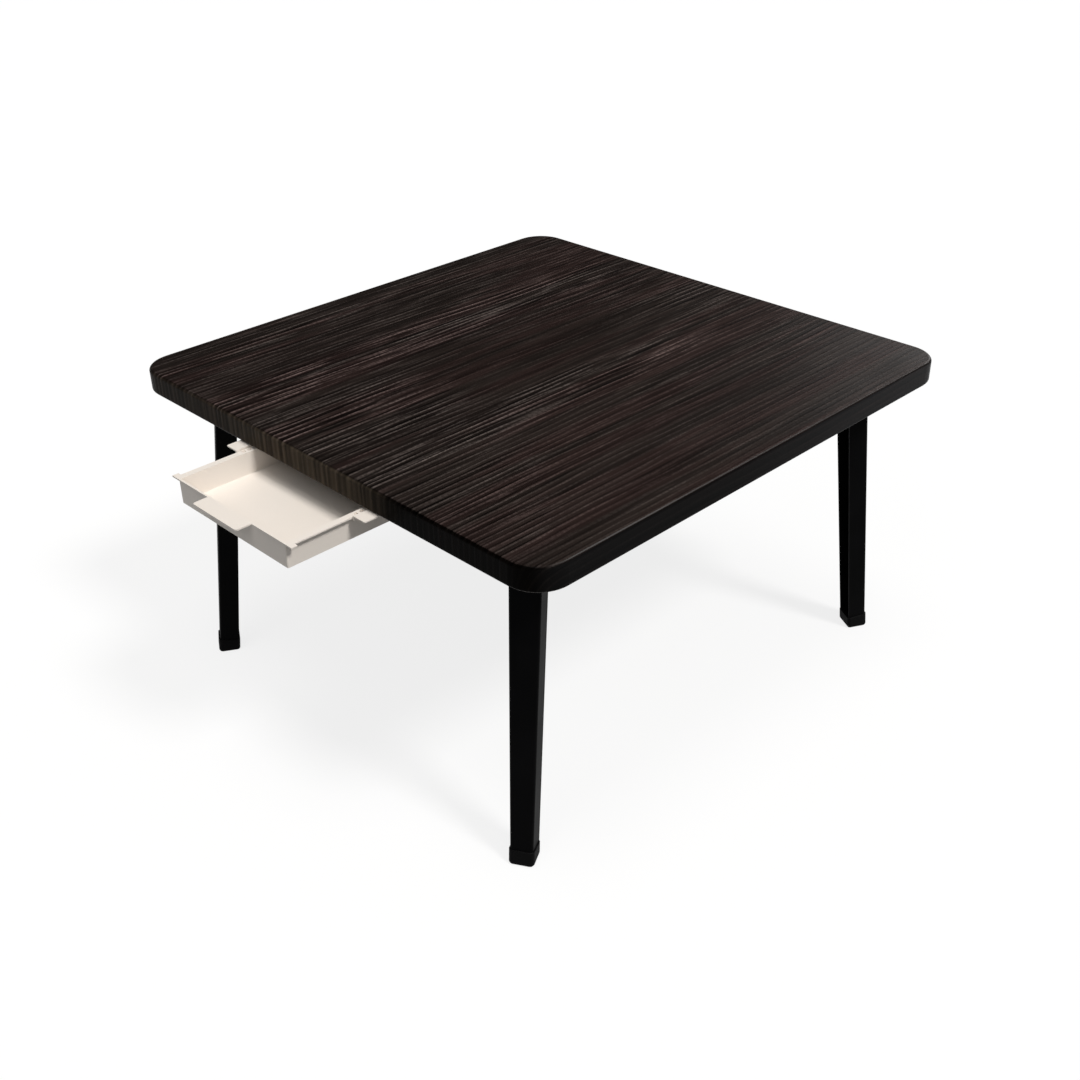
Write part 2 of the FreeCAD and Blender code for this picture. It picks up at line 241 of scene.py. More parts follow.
class Effects:
    """The shared effects, each one node group: streaks, mottle and edge wear."""

    def __init__(self) -> None:
        """Builds the groups once."""
        self.streaks = self._streaks()
        self.mottle = self._mottle()
        self.edge_wear = self._edge_wear()

    @staticmethod
    def _streaks() -> bpy.types.NodeTree:
        """Long thin marks in one direction, as of grain or brushing.

        Returns:
            The group. Its lengths are in metres.
        """
        inputs = {
            "Across": 0.0, "Along": 0.0, "Width": 0.002, "Length": 0.05, "Wander": 0.0,
            "Seed": 0.0, "Detail": 1.0, "Low": 0.4, "High": 0.6,
        }
        tree, graph, given, result = _new_group("long_streaks", inputs, ["Value", "Mask"])
        pin = given.outputs
        wide = graph.math("MULTIPLY", pin["Across"], DRIFT_ACROSS)
        long = graph.math("MULTIPLY", pin["Along"], DRIFT_ALONG)
        field = graph.noise(graph.point(wide, long, DRIFT_PLANE), 1.0, 1.0)
        drift = graph.math("MULTIPLY", graph.math("SUBTRACT", field, 0.5), pin["Wander"])
        across = graph.math("DIVIDE", graph.math("ADD", pin["Across"], drift), pin["Width"])
        along = graph.math("DIVIDE", pin["Along"], pin["Length"])
        value = graph.noise(graph.point(across, along, pin["Seed"]), 1.0, pin["Detail"])
        graph.plug(result.inputs["Value"], value)
        graph.plug(result.inputs["Mask"], graph.ramp(value, pin["Low"], pin["High"]))
        return tree

    @staticmethod
    def _mottle() -> bpy.types.NodeTree:
        """Even marks in all directions, from fine pebbling to broad smudges.

        Returns:
            The group.
        """
        inputs = {"Scale": 100.0, "Detail": 2.0, "Low": 0.4, "High": 0.6}
        tree, graph, given, result = _new_group("mottle", inputs, ["Value", "Mask"])
        pin = given.outputs
        value = graph.noise(graph.here(), pin["Scale"], pin["Detail"])
        graph.plug(result.inputs["Value"], value)
        graph.plug(result.inputs["Mask"], graph.ramp(value, pin["Low"], pin["High"]))
        return tree

    @staticmethod
    def _edge_wear() -> bpy.types.NodeTree:
        """A broken mask along outer and inner edges, where a coat is thinner.

        Returns:
            The group.
        """
        inputs = {"Radius": 0.001, "Low": 0.02, "High": 0.25, "Scale": 400.0}
        tree, graph, given, result = _new_group("edge_wear", inputs, ["Mask"])
        pin = given.outputs
        bevel = graph.add("ShaderNodeBevel", {"Radius": pin["Radius"]}, samples=BEVEL_SAMPLES)
        flat = graph.add("ShaderNodeNewGeometry", {}).outputs["Normal"]
        same = graph.dot(bevel.outputs[0], flat)
        bent = graph.ramp(graph.math("SUBTRACT", 1.0, same), pin["Low"], pin["High"])
        broken = graph.ramp(graph.noise(graph.here(), pin["Scale"]), *WEAR_BREAKS)
        graph.plug(result.inputs["Mask"], graph.math("MULTIPLY", bent, broken))
        return tree


class Coat:
    """A material that is being made: its graph and its shader."""

    def __init__(self, name: str) -> None:
        """Makes the material.

        Args:
            name: its name.
        """
        self.material = bpy.data.materials.new(name)
        self.material.use_nodes = True
        self.graph = Graph(self.material.node_tree)
        self.shader = self.material.node_tree.nodes["Principled BSDF"]

    def dress(self, **plugs: Value) -> None:
        """Feeds or sets the shader's inputs, named in lower case with underscores."""
        names = {name.lower().replace(" ", "_"): name for name in self.shader.inputs.keys()}
        for name, value in plugs.items():
            self.graph.plug(self.shader.inputs[names[name]], _rgba(value))

    def emboss(self, height: Socket, depth: float) -> None:
        """Presses a height into the surface.

        Args:
            height: the height, from 0 to 1.
            depth: what 1 stands for, in metres.
        """
        bump = self.graph.add("ShaderNodeBump", {"Height": height, "Distance": depth})
        self.graph.plug(self.shader.inputs["Normal"], bump.outputs[0])


# Finishes


@dataclass(frozen=True)
class Mottle:
    """Settings of the mottle: swells to a metre, finer layers, and the range of its mask."""

    scale: float
    detail: float = 2.0
    low: float = 0.3
    high: float = 0.7

    def add(self, graph: Graph, effects: Effects) -> bpy.types.Node:
        """Adds the mottle to a material.

        Args:
            graph: the material's graph.
            effects: the shared effects.

        Returns:
            The group node, with the outputs Value and Mask.
        """
        return graph.effect(
            effects.mottle, scale=self.scale, detail=self.detail, low=self.low, high=self.high
        )


@dataclass(frozen=True)
class Streaks:
    """Settings of the long streaks, with their sizes in metres."""

    width: float
    length: float
    seed: float
    detail: float = 1.0
    wander: float = 0.0
    low: float = 0.4
    high: float = 0.6

    def add(self, graph: Graph, effects: Effects, across: Socket, along: Socket) -> bpy.types.Node:
        """Adds the streaks to a material.

        Args:
            graph: the material's graph.
            effects: the shared effects.
            across: the place across the streaks.
            along: the place along them.

        Returns:
            The group node, with the outputs Value and Mask.
        """
        return graph.effect(
            effects.streaks, across=across, along=along, width=self.width, length=self.length,
            wander=self.wander, seed=self.seed, detail=self.detail, low=self.low, high=self.high,
        )


@dataclass(frozen=True)
class Wear:
    """Worn edges: their width, how finely they break up, how pale and how smooth they are."""

    radius: float
    scale: float
    strength: float
    polish: float

    def mask(self, graph: Graph, effects: Effects) -> Socket:
        """Adds the mask of the worn edges.

        Args:
            graph: the material's graph.
            effects: the shared effects.

        Returns:
            The mask, from 0 to 1.
        """
        return graph.effect(effects.edge_wear, radius=self.radius, scale=self.scale).outputs["Mask"]


@dataclass(frozen=True)
class RoughZone:
    """A strip of the top where the grain is open and strongly marked."""

    centre: float
    reach: float
    start: float
    end: float
    strength: float
    fade: float = 0.07
    core: float = 0.35

    def mask(self, graph: Graph, x: Socket, y: Socket) -> Socket:
        """Measures how far a point lies in the strip.

        Args:
            graph: the material's graph.
            x: the point's place across the grain.
            y: its place along the grain.

        Returns:
            The strength in the strip, falling to 0 outside.
        """
        off = graph.math("ABSOLUTE", graph.math("SUBTRACT", x, self.centre))
        across = graph.ramp(off, self.reach * self.core, self.reach, self.strength, 0.0)
        entering = graph.ramp(y, self.start - self.fade, self.start + self.fade)
        leaving = graph.ramp(y, self.end - self.fade, self.end + self.fade, 1.0, 0.0)
        return graph.math("MULTIPLY", across, graph.math("MULTIPLY", entering, leaving))


@dataclass(frozen=True)
class FoilPlace:
    """A point of the foil: its place, its normal's parts, and its place on the foil laid flat."""

    x: Socket
    y: Socket
    right: Socket
    back: Socket
    up: Socket
    across: Socket
    along: Socket


@dataclass(frozen=True)
class FoilGrain:
    """The foil's grain at a point: masks 0 to 1, ribs -1 to 1; sunk is partly painted groove shade."""

    bands: Socket
    tone: Socket
    rib: Socket
    marks: Socket
    sunk: Socket


@dataclass(frozen=True)
class PaintedSideShade:
    """Painted shade: darker side faces, and a cool grey on the right-hand one, paler towards the back.
    """

    grey: Colour = (0.0072, 0.0076, 0.0080)
    grey_rise: Span = (-0.1, 0.4, 1.0, 5.4)
    grey_share: float = 0.6
    sideways: float = 0.65
    turned: Span = (0.15, 0.6)
    front: Span = (0.04, 0.14, 0.45, 0.07)
    facing_right: Span = (0.5, 1.0)
    right: Span = (-0.12, 0.28, 0.3, 0.75)

    def paint(self, graph: Graph, place: FoilPlace, colour: Socket) -> Socket:
        """Paints shade onto the side faces.

        Args:
            graph: the material's graph.
            place: the point.
            colour: the colour of the unshaded foil.

        Returns:
            The colour with the painted shade.
        """
        # Painted shade: sides darkest on the right part of the front and back faces, less towards the
        # back of the right-hand face.
        sideways = graph.math("MULTIPLY", graph.math("ABSOLUTE", place.right), self.sideways)
        aside = graph.math("MAXIMUM", sideways, graph.math("ABSOLUTE", place.back))
        facing_right = graph.ramp(place.right, *self.facing_right)
        right = graph.math("MULTIPLY", facing_right, graph.ramp(place.y, *self.right))
        shade = graph.math("MAXIMUM", graph.ramp(place.x, *self.front), right)
        colour = graph.scale_colour(colour, graph.ramp(aside, *self.turned, 1.0, shade))
        grey = graph.scale_colour(self.grey, graph.ramp(place.y, *self.grey_rise))
        return graph.mix(graph.math("MULTIPLY", facing_right, self.grey_share), colour, grey)


@dataclass(frozen=True)
class PaintedHighlightLine:
    """A painted highlight: the thin pale line on the rounding above the right-hand side face."""

    colour: Colour = (0.075, 0.071, 0.069)
    turn_in: Span = (0.08, 0.26)
    turn_out: Span = (0.36, 0.62, 1.0, 0.0)
    facing_up: Span = (0.3, 0.6)
    past_corner: Span = (-0.288, -0.255)
    fading: Span = (-0.2, 0.2, 1.0, 0.5)
    tone: Span = (0.0, 1.0, 0.7, 1.0)

    def paint(self, graph: Graph, place: FoilPlace, grain: FoilGrain, colour: Socket) -> Socket:
        """Paints the highlight line.

        Args:
            graph: the material's graph.
            place: the point.
            grain: the grain there.
            colour: the colour below the line.

        Returns:
            The colour with the line on it.
        """
        turn_in = graph.ramp(place.right, *self.turn_in)
        line = graph.math("MULTIPLY", turn_in, graph.ramp(place.right, *self.turn_out))
        line = graph.math("MULTIPLY", line, graph.ramp(place.up, *self.facing_up))
        past_corner = graph.ramp(place.y, *self.past_corner)
        fading = graph.math("MULTIPLY", past_corner, graph.ramp(place.y, *self.fading))
        along = graph.math("MULTIPLY", fading, graph.ramp(grain.tone, *self.tone))
        return graph.mix(graph.math("MULTIPLY", line, along), colour, self.colour)


@dataclass(frozen=True)
class PaintedOliveLight:
    """Painted light: an olive tint on the side face by the tray, which ends short of the right corner.
    """

    colour: Colour = (0.088, 0.069, 0.049)
    facing: Span = (0.35, 0.95)
    rise: Span = (-0.24, 0.02, 0.35, 1.0)
    fall: Span = (0.06, 0.13, 1.0, 0.02)
    tone: Span = (0.1, 0.9, 0.34, 0.66)
    ribs: Span = (-1.0, 1.0, 0.8, 1.2)

    def paint(self, graph: Graph, place: FoilPlace, grain: FoilGrain, colour: Socket) -> Socket:
        """Paints the olive light onto the face by the tray.

        Args:
            graph: the material's graph.
            place: the point.
            grain: the grain there.
            colour: the colour below the tint.

        Returns:
            The colour with the painted light.
        """
        # Painted light, broken up by the grain's tone and ribs, strongest left of the middle of the
        # front face.
        facing = graph.ramp(graph.math("MULTIPLY", place.back, -1.0), *self.facing)
        rise = graph.ramp(place.x, *self.rise)
        reach = graph.math("MULTIPLY", rise, graph.ramp(place.x, *self.fall))
        strength = graph.math("MULTIPLY", reach, graph.ramp(grain.tone, *self.tone))
        tint = graph.math("MULTIPLY", facing, strength)
        tint = graph.math("MULTIPLY", tint, graph.ramp(grain.rib, *self.ribs))
        return graph.mix(tint, colour, self.colour)


@dataclass(frozen=True)
class WoodFoil:
    """Black-brown foil with straight embossed grain, wrapped over the board's sides."""

    grey_brown: Colour = (0.0124, 0.0098, 0.0084)
    red_brown: Colour = (0.0145, 0.0090, 0.0080)
    raised: Colour = (0.138, 0.098, 0.090)
    raised_grey: Colour = (0.115, 0.100, 0.090)
    # Painted sheen: the foil made paler towards the right-hand end.
    painted_sheen_right: Span = (-0.12, 0.26, 0.95, 1.2)
    tone_lift: Span = (0.0, 1.0, 0.70, 1.28)
    # Dark grain lines, deepened partly as painted shade in the grooves.
    sunk_shade: Span = (0.0, 1.0, 1.0, 0.2)
    painted_side_shade: PaintedSideShade = PaintedSideShade()
    painted_highlight_line: PaintedHighlightLine = PaintedHighlightLine()
    painted_olive_light: PaintedOliveLight = PaintedOliveLight()

    roughness: float = 0.30
    smudges: Mottle = Mottle(scale=7.0, low=0.35, high=0.7)
    smudge_roughness: float = 0.08
    mark_roughness: float = 0.2
    specular: float = 0.010
    depth: float = 0.00012
    mark_height: float = 0.7
    groove_depth: float = 0.6
    rib_height: float = 0.15

    wander: float = 0.009
    band_layer: Streaks = Streaks(width=0.022, length=0.42, seed=1.3)
    tone_layer: Streaks = Streaks(width=0.011, length=0.30, seed=2.9, detail=2.0)
    sway_layer: Streaks = Streaks(width=0.042, length=0.30, seed=4.1)
    jitter_layer: Streaks = Streaks(width=0.015, length=0.13, seed=5.3)
    hair_layer: Streaks = Streaks(width=0.0034, length=0.07, seed=6.7)
    gap_layer: Streaks = Streaks(width=0.0075, length=0.08, seed=8.3, detail=2.0)
    band_span: Span = (0.40, 0.60, 0.3, 1.0)
    tone_span: Span = (0.34, 0.66)
    sway: float = 0.015
    jitter: float = 0.0045
    pitch: float = 0.0074
    groove_turn: float = 1.9

    gaps: Span = (0.43, 0.60, 0.12, 1.0)
    unbroken_right: Span = (0.03, 0.14, 0.0, 0.55)
    crests: Span = (0.3, 1.0)
    pale_hairs: Span = (0.55, 0.68, 0.0, 0.5)
    grooves: Span = (0.25, 1.0)
    groove_gaps: Span = (0.0, 1.0, 0.25, 1.0)
    dark_hairs: Span = (0.48, 0.34, 0.0, 0.6)
    sunk_where_calm: Span = (0.0, 1.0, 0.3, 1.0)
    beads: Mottle = Mottle(scale=270.0, detail=1.0, low=0.36, high=0.6)
    between_beads: Span = (0.0, 1.0, 0.5, 1.0)
    mark_strength: float = 0.8

    quiet: float = 0.18
    usual: float = 0.42
    even_right: Span = (0.12, 0.20, 0.0, 0.6)
    calm_patch: RoughZone = RoughZone(centre=0.01, reach=0.14, start=-0.12, end=0.15, strength=1.0)
    rough_zones: tuple[RoughZone, ...] = (
        RoughZone(centre=-0.258, reach=0.020, start=-0.34, end=0.16, strength=0.75),
        RoughZone(centre=-0.142, reach=0.048, start=-0.34, end=0.28, strength=1.0),
        RoughZone(centre=-0.030, reach=0.090, start=-0.34, end=-0.12, strength=0.9),
        RoughZone(centre=0.072, reach=0.045, start=-0.34, end=0.18, strength=0.9),
        RoughZone(centre=-0.005, reach=0.070, start=0.17, end=0.34, strength=0.7),
        RoughZone(centre=0.190, reach=0.120, start=-0.34, end=-0.14, strength=0.55),
    )

    def material(self, effects: Effects) -> bpy.types.Material:
        """Builds the material.

        Args:
            effects: the shared effects.

        Returns:
            The material.
        """
        coat = Coat("wood_foil")
        graph = coat.graph
        place = self._place(graph)
        grain = self._grain(graph, effects, place)
        # The upper face gets a painted sheen; the side faces get painted shade, a painted highlight
        # line and painted olive light.
        colour = self._upper_face(graph, place, grain)
        colour = self.painted_side_shade.paint(graph, place, colour)
        colour = self.painted_highlight_line.paint(graph, place, grain, colour)
        coat.dress(base_color=self.painted_olive_light.paint(graph, place, grain, colour))

        smudge = self.smudges.add(graph, effects).outputs["Mask"]
        handled = graph.math("MULTIPLY", smudge, self.smudge_roughness)
        worn = graph.math("ADD", self.roughness, handled)
        marked = graph.math("MULTIPLY", grain.marks, self.mark_roughness)
        coat.dress(roughness=graph.math("ADD", worn, marked), specular_ior_level=self.specular)
        raised = graph.math("MULTIPLY", grain.marks, self.mark_height)
        lowered = graph.math("MULTIPLY", grain.sunk, self.groove_depth)
        ribs = graph.math("MULTIPLY", grain.rib, self.rib_height)
        height = graph.math("ADD", graph.math("SUBTRACT", raised, lowered), ribs)
        coat.emboss(height, self.depth)
        return coat.material

    def _place(self, graph: Graph) -> FoilPlace:
        """Reads where a point is, and unrolls the side faces onto the plane of the top."""
        x, y, z = graph.parts(graph.here())
        right, back, up = graph.parts(graph.here("Normal"))
        across = graph.math("SUBTRACT", x, graph.math("MULTIPLY", z, right))
        along = graph.math("SUBTRACT", y, graph.math("MULTIPLY", z, back))
        return FoilPlace(x, y, right, back, up, across, along)

    def _grain(self, graph: Graph, effects: Effects, place: FoilPlace) -> FoilGrain:
        """Works out the grain from its layers.

        Args:
            graph: the material's graph.
            effects: the shared effects.
            place: the point.

        Returns:
            The grain there.
        """

        def layer(streaks: Streaks) -> Socket:
            """One layer of the grain, as a value from 0 to 1."""
            wandering = replace(streaks, wander=self.wander)
            return wandering.add(graph, effects, place.across, place.along).outputs["Value"]

        bands = graph.ramp(layer(self.band_layer), *self.band_span)
        tone = graph.ramp(layer(self.tone_layer), *self.tone_span)
        sway = graph.math("MULTIPLY", layer(self.sway_layer), self.sway)
        jitter = graph.math("MULTIPLY", layer(self.jitter_layer), self.jitter)
        bent = graph.math("ADD", place.across, graph.math("ADD", sway, jitter))
        phase = graph.math("MULTIPLY", bent, math.tau / self.pitch)
        rib = graph.math("SINE", phase)
        beside = graph.math("SINE", graph.math("ADD", phase, self.groove_turn))
        hairs = layer(self.hair_layer)
        unbroken = graph.ramp(place.x, *self.unbroken_right)
        shown = graph.math("MAXIMUM", graph.ramp(layer(self.gap_layer), *self.gaps), unbroken)

        light = graph.math("MULTIPLY", graph.ramp(rib, *self.crests), shown)
        light = graph.math("ADD", light, graph.ramp(hairs, *self.pale_hairs))
        beads = self.beads.add(graph, effects).outputs["Mask"]
        marks = graph.math("MULTIPLY", light, graph.ramp(beads, *self.between_beads))
        openness = self._openness(graph, place)
        strength = graph.math("MULTIPLY", openness, self.mark_strength)
        marks = graph.math("MULTIPLY", marks, strength, clamp=True)

        # Dark grain lines and hairs, partly painted shade in the grooves beside the ribs.
        deep = graph.ramp(shown, *self.groove_gaps)
        dark = graph.math("MULTIPLY", graph.ramp(beside, *self.grooves), deep)
        dark = graph.math("ADD", dark, graph.ramp(hairs, *self.dark_hairs))
        sinking = graph.ramp(openness, *self.sunk_where_calm)
        sunk = graph.math("MULTIPLY", dark, sinking, clamp=True)
        return FoilGrain(bands, tone, rib, marks, sunk)

    def _openness(self, graph: Graph, place: FoilPlace) -> Socket:
        """How strongly the grain is marked at a point.

        Args:
            graph: the material's graph.
            place: the point.

        Returns:
            The strength, least in the calm patch and most in the rough zones.
        """
        even = graph.ramp(place.x, *self.even_right)
        calm = graph.math("MAXIMUM", self.calm_patch.mask(graph, place.x, place.y), even)
        openness = graph.ramp(calm, 0.0, 1.0, self.usual, self.quiet)
        for zone in self.rough_zones:
            openness = graph.math("MAXIMUM", openness, zone.mask(graph, place.x, place.y))
        return openness

    def _upper_face(self, graph: Graph, place: FoilPlace, grain: FoilGrain) -> Socket:
        """Colours the foil's upper face, with its grain and a painted sheen towards the right.

        Args:
            graph: the material's graph.
            place: the point.
            grain: the grain there.

        Returns:
            The colour.
        """
        # Painted sheen: paler towards the right, on top of the grain's own tone.
        paler = graph.ramp(place.x, *self.painted_sheen_right)
        lift = graph.math("MULTIPLY", graph.ramp(grain.tone, *self.tone_lift), paler)
        ground = graph.mix(grain.bands, self.grey_brown, self.red_brown)
        ground = graph.scale_colour(ground, lift)
        # The grooves darkened: partly grain colour, partly painted shade.
        ground = graph.scale_colour(ground, graph.ramp(grain.sunk, *self.sunk_shade))
        return graph.mix(grain.marks, ground, graph.mix(grain.bands, self.raised_grey, self.raised))


@dataclass(frozen=True)
class BackingPaper:
    """Dark, matt, fibrous paper on the underside of the board."""

    ground: Colour = (0.020, 0.0155, 0.0135)
    fibre: Colour = (0.055, 0.043, 0.035)
    fibres: Streaks = Streaks(
        width=0.0009, length=0.006, seed=21.0, detail=3.0, wander=0.004, low=0.55, high=0.75
    )
    fibre_share: float = 0.6
    clouds: Mottle = Mottle(scale=14.0)
    cloud_shade: Span = (0.0, 1.0, 0.8, 1.25)
    roughness: Span = (0.0, 1.0, 0.78, 0.9)
    specular: float = 0.3
    depth: float = 0.00004

    def material(self, effects: Effects) -> bpy.types.Material:
        """Builds the material.

        Args:
            effects: the shared effects.

        Returns:
            The material.
        """
        coat = Coat("backing_paper")
        graph = coat.graph
        x, y, _ = graph.parts(graph.here())
        fibres = self.fibres.add(graph, effects, x, y).outputs["Mask"]
        cloud = self.clouds.add(graph, effects).outputs["Mask"]
        ground = graph.scale_colour(self.ground, graph.ramp(cloud, *self.cloud_shade))
        share = graph.math("MULTIPLY", fibres, self.fibre_share)
        coat.dress(base_color=graph.mix(share, ground, self.fibre))
        coat.dress(roughness=graph.ramp(fibres, *self.roughness), specular_ior_level=self.specular)
        coat.emboss(fibres, self.depth)
        return coat.material


@dataclass(frozen=True)
class BlackCoat:
    """A black finish with pebbling and paler edges: powder coat or moulded plastic."""

    name: str
    ground: Colour
    edge: Colour
    pebble: Mottle
    depth: float
    roughness: float
    specular: float
    wear: Wear
    clouds: Mottle = Mottle(scale=16.0)
    cloud_shade: Span = (0.0, 1.0, 0.8, 1.25)
    cloud_roughness: float = 0.07

    def material(self, effects: Effects) -> bpy.types.Material:
        """Builds the material.

        Args:
            effects: the shared effects.

        Returns:
            The material.
        """
        coat = Coat(self.name)
        graph = coat.graph
        cloud = self.clouds.add(graph, effects).outputs["Mask"]
        wear = self.wear.mask(graph, effects)
        ground = graph.scale_colour(self.ground, graph.ramp(cloud, *self.cloud_shade))
        paler = graph.math("MULTIPLY", wear, self.wear.strength)
        coat.dress(base_color=graph.mix(paler, ground, self.edge))
        clouded = graph.math("MULTIPLY", cloud, self.cloud_roughness)
        rough = graph.math("ADD", self.roughness, clouded)
        smoother = graph.math("MULTIPLY", wear, self.wear.polish)
        coat.dress(roughness=graph.math("SUBTRACT", rough, smoother), specular_ior_level=self.specular)
        coat.emboss(self.pebble.add(graph, effects).outputs["Value"], self.depth)
        return coat.material


@dataclass(frozen=True)
class PalePlastic:
    """Satin moulded plastic with a fine spark texture, a little paler at its edges."""

    name: str
    ground: Colour
    cool: Colour
    edge: Colour
    roughness: float
    pebble: Mottle
    depth: float
    subsurface: float
    subsurface_scale: float = 0.002
    pebble_shade: Span = (0.0, 1.0, 0.975, 1.0)
    clouds: Mottle = Mottle(scale=11.0)
    cloud_roughness: float = 0.06
    wear: Wear = Wear(radius=0.0007, scale=260.0, strength=0.5, polish=0.07)

    def material(self, effects: Effects) -> bpy.types.Material:
        """Builds the material.

        Args:
            effects: the shared effects.

        Returns:
            The material.
        """
        coat = Coat(self.name)
        graph = coat.graph
        cloud = self.clouds.add(graph, effects).outputs["Mask"]
        pebble = self.pebble.add(graph, effects).outputs
        wear = self.wear.mask(graph, effects)
        ground = graph.mix(cloud, self.ground, self.cool)
        ground = graph.scale_colour(ground, graph.ramp(pebble["Mask"], *self.pebble_shade))
        paler = graph.math("MULTIPLY", wear, self.wear.strength)
        coat.dress(base_color=graph.mix(paler, ground, self.edge))
        clouded = graph.math("MULTIPLY", cloud, self.cloud_roughness)
        rough = graph.math("ADD", self.roughness, clouded)
        smoother = graph.math("MULTIPLY", wear, self.wear.polish)
        coat.dress(roughness=graph.math("SUBTRACT", rough, smoother))
        coat.dress(subsurface_weight=self.subsurface, subsurface_scale=self.subsurface_scale)
        coat.emboss(pebble["Value"], self.depth)
        return coat.material


@dataclass(frozen=True)
class BareMetal:
    """Plated or oiled steel with drawn lines and a faint tint."""

    name: str
    ground: Colour
    tint: Colour
    roughness: float
    lines: Streaks
    line_shade: Span = (0.0, 1.0, 0.88, 1.0)
    line_roughness: float = 0.16
    depth: float = 0.00002
    clouds: Mottle = Mottle(scale=170.0, detail=3.0, low=0.35, high=0.65)

    def material(self, effects: Effects) -> bpy.types.Material:
        """Builds the material.

        Args:
            effects: the shared effects.

        Returns:
            The material.
        """
        coat = Coat(self.name)
        graph = coat.graph
        x, y, z = graph.parts(graph.here())
        drawn = self.lines.add(graph, effects, graph.math("ADD", x, y), z).outputs["Mask"]
        cloud = self.clouds.add(graph, effects).outputs["Mask"]
        ground = graph.mix(cloud, self.ground, self.tint)
        ground = graph.scale_colour(ground, graph.ramp(drawn, *self.line_shade))
        coat.dress(base_color=ground, metallic=1.0)
        roughest = self.roughness + self.line_roughness
        coat.dress(roughness=graph.ramp(drawn, 0.0, 1.0, self.roughness, roughest))
        coat.emboss(drawn, self.depth)
        return coat.material


@dataclass(frozen=True)
class Finishes:
    """One material for each finish that the parts are dressed with."""

    wood_foil: bpy.types.Material
    board_backing: bpy.types.Material
    black_enamel: bpy.types.Material
    black_rubbery_plastic: bpy.types.Material
    cream_plastic: bpy.types.Material
    zinc_steel: bpy.types.Material
    spring_steel: bpy.types.Material
    nylon: bpy.types.Material


def make_finishes(effects: Effects) -> Finishes:
    """Builds every material.

    Args:
        effects: the shared effects.

    Returns:
        The finishes.
    """
    enamel = BlackCoat(
        name="powder_coat", ground=(0.0024, 0.0024, 0.0026), edge=(0.013, 0.013, 0.0135),
        pebble=Mottle(scale=900.0, detail=1.0), depth=0.00006, roughness=0.42, specular=0.017,
        wear=Wear(radius=0.0009, scale=300.0, strength=0.5, polish=0.08),
    )
    caps = BlackCoat(
        name="cap_plastic", ground=(0.0040, 0.0040, 0.0042), edge=(0.018, 0.018, 0.018),
        pebble=Mottle(scale=2200.0, detail=1.0), depth=0.00003, roughness=0.56, specular=0.03,
        wear=Wear(radius=0.0009, scale=300.0, strength=0.6, polish=0.08),
    )
    cream = PalePlastic(
        name="cream_plastic", ground=(0.840, 0.772, 0.700), cool=(0.832, 0.768, 0.702),
        edge=(0.880, 0.822, 0.755), roughness=0.4, depth=0.00002, subsurface=0.0,
        pebble=Mottle(scale=2600.0, detail=3.0, low=0.35, high=0.65),
    )
    nylon = PalePlastic(
        name="natural_nylon", ground=(0.760, 0.735, 0.680), cool=(0.735, 0.725, 0.690),
        edge=(0.810, 0.790, 0.745), roughness=0.45, depth=0.00001, subsurface=0.15,
        pebble=Mottle(scale=3000.0, detail=3.0, low=0.35, high=0.65),
    )
    zinc = BareMetal(
        name="zinc_plate", ground=(0.63, 0.64, 0.63), tint=(0.60, 0.60, 0.55), roughness=0.26,
        lines=Streaks(width=0.00025, length=0.02, seed=31.0, detail=2.0, low=0.3, high=0.7),
    )
    spring = BareMetal(
        name="blued_spring_steel", ground=(0.30, 0.30, 0.31), tint=(0.22, 0.20, 0.20),
        roughness=0.34,
        lines=Streaks(width=0.00025, length=0.03, seed=31.0, detail=2.0, low=0.3, high=0.7),
    )
    return Finishes(
        wood_foil=WoodFoil().material(effects),
        board_backing=BackingPaper().material(effects),
        black_enamel=enamel.material(effects),
        black_rubbery_plastic=caps.material(effects),
        cream_plastic=cream.material(effects),
        zinc_steel=zinc.material(effects),
        spring_steel=spring.material(effects),
        nylon=nylon.material(effects),
    )


def dress_node(name: str, material: bpy.types.Material) -> None:
    """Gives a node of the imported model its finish.

    Args:
        name: the node.
        material: the finish.
    """
    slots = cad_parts[name].data.materials
    slots.clear()
    slots.append(material)


# Sub-assemblies


@dataclass
class TableTop:
    """The board and the foil around it."""

    finishes: Finishes

    def build(self) -> None:
        """Dresses the board and the foil."""
        dress_node("top_foil", self.finishes.wood_foil)
        dress_node("top_board", self.finishes.board_backing)


@dataclass
class CornerLeg:
    """One folding leg with its bracket, hinge, spring and foot cap."""

    finishes: Finishes
    corner: Corner

    def build(self) -> None:
        """Dresses the leg's nodes."""
        finishes = self.finishes
        for piece, material in (
            ("leg_bracket", finishes.black_enamel), ("bracket_screws", finishes.zinc_steel),
            ("hinge_pin", finishes.zinc_steel), ("hinge_washers", finishes.nylon),
            ("leg_spring", finishes.spring_steel), ("spring_rivet", finishes.zinc_steel),
            ("leg", finishes.black_enamel), ("foot_cap", finishes.black_rubbery_plastic),
        ):
            dress_node(f"{piece}_{self.corner.value}", material)


@dataclass
class SlidingTray:
    """The tray and its two rails."""

    finishes: Finishes

    def build(self) -> None:
        """Dresses the tray, the rails and their screws."""
        dress_node("drawer_tray", self.finishes.cream_plastic)
        for side in Side:
            dress_node(f"drawer_rail_{side.value}", self.finishes.cream_plastic)
            dress_node(f"rail_screws_{side.value}", self.finishes.zinc_steel)


# Studio


@dataclass(frozen=True)
class Lamp:
    """A soft lamp far away: its strength, how wide it looks in degrees, and where it stands."""

    name: str
    energy: float
    spread: float
    toward: Direction
    colour: Colour = (1.0, 0.985, 0.965)

    def build(self) -> None:
        """Adds the lamp to the scene."""
        data = bpy.data.lights.new(self.name, "SUN")
        data.energy = self.energy
        data.angle = math.radians(self.spread)
        data.color = self.colour
        lamp = bpy.data.objects.new(self.name, data)
        lamp.rotation_euler = Vector(self.toward).to_track_quat("Z", "Y").to_euler()
        bpy.context.scene.collection.objects.link(lamp)


